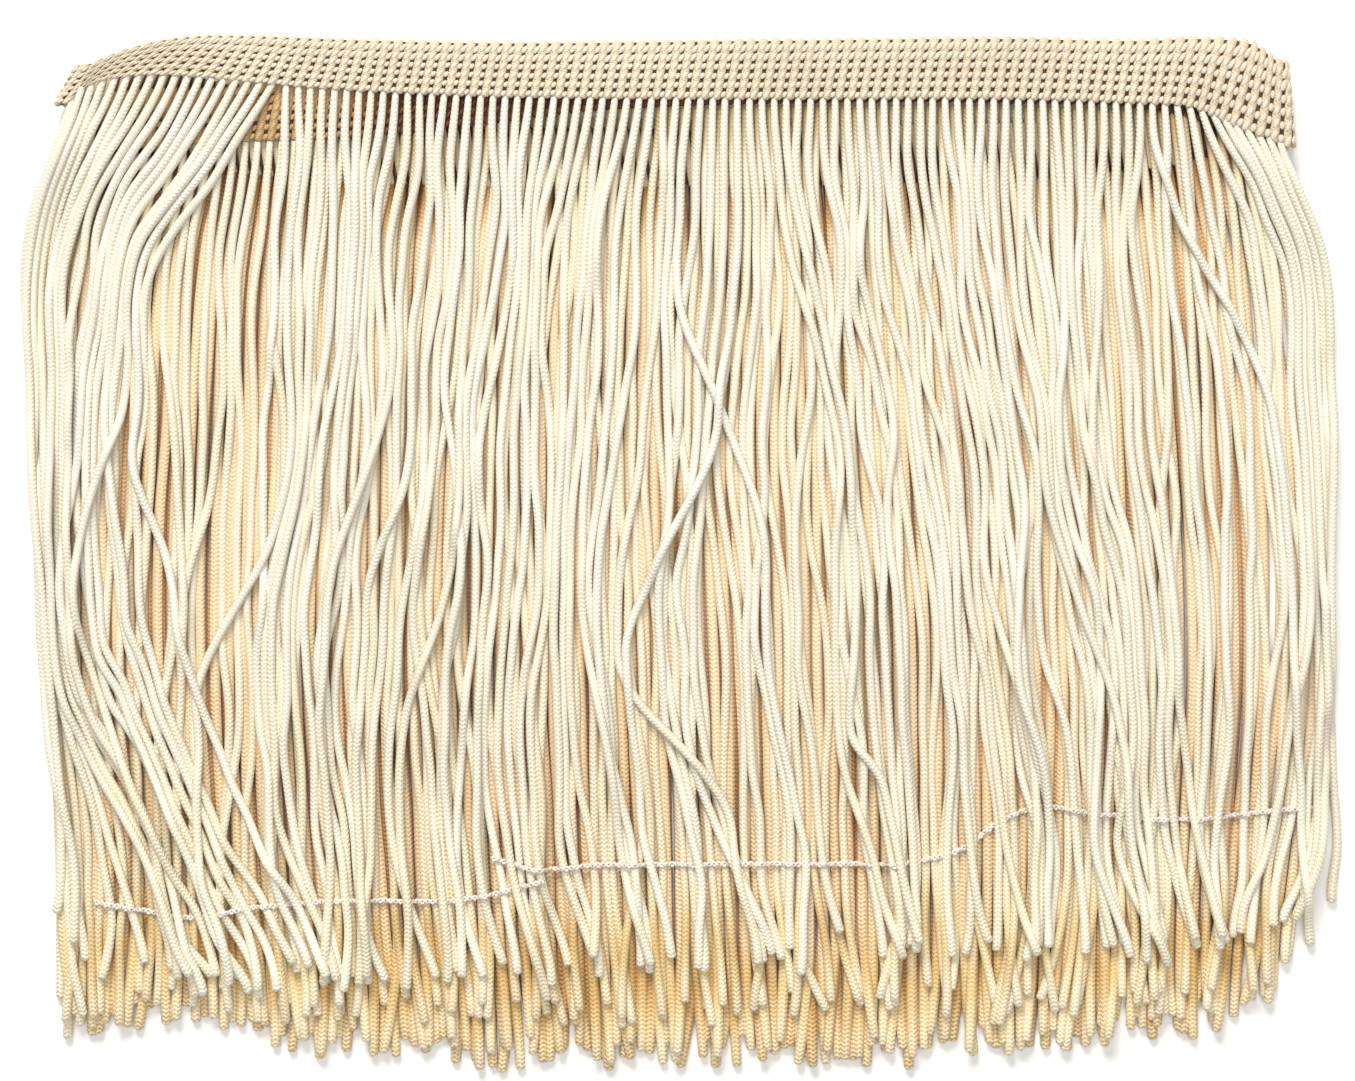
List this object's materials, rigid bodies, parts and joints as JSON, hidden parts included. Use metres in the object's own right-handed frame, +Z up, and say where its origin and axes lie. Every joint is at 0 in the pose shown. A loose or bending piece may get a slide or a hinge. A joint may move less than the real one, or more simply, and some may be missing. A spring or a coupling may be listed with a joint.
{
  "type": "chainette fringe trim",
  "caption": "Deep fringe of knitted chainette cords hanging from a crocheted heading tape, wound flat in layers, for edging shades, curtains, cushions or costume.",
  "frame": {"origin": "under the middle of the winding, on the surface it lies on", "axes": "+X along the heading, +Y from the cord tips towards the heading, +Z up out of the front face"},
  "size_m": [0.2884, 0.2245, 0.0079],
  "materials": {
    "heading_yarn": "silky polyester yarn, crochet-knitted tape, cream",
    "cord_yarn": "silky polyester yarn, knitted chainette cord, ivory"
  },
  "bodies": {
    "root": {"heading_tape": "heading_yarn", "fringe_front": "cord_yarn", "fringe_inner_front": "cord_yarn", "fringe_inner_back": "cord_yarn", "fringe_back": "cord_yarn"}
  },
  "joints": []
}
